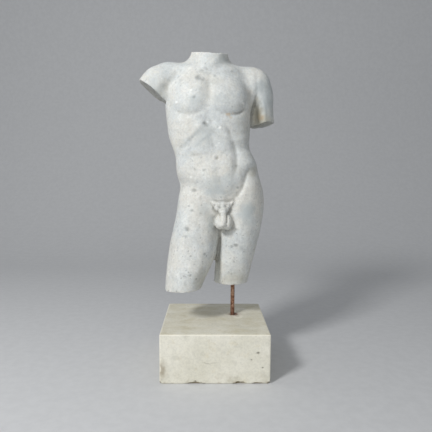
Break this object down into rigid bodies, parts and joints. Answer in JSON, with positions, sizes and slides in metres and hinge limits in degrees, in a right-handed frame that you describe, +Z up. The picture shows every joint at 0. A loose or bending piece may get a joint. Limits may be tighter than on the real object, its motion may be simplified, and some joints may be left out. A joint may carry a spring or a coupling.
{
  "type": "marble torso statue on a block",
  "caption": "Headless male torso in white marble with broken limbs, held upright on one iron rod over a square marble block.",
  "frame": {"origin": "centre of the block's underside, which rests on the floor", "axes": "+Z up, -Y towards the viewer of the statue's front, +X towards the statue's left hand"},
  "size_m": [0.4405, 0.33, 1.0188],
  "materials": {
    "torso_marble": "weathered honed white marble with grey specks",
    "rod_iron": "rusted, unpainted",
    "block_marble": "honed cream marble, stained and chipped"
  },
  "bodies": {
    "root": {"torso": "torso_marble", "iron_rod": "rod_iron", "block": "block_marble"}
  },
  "joints": []
}
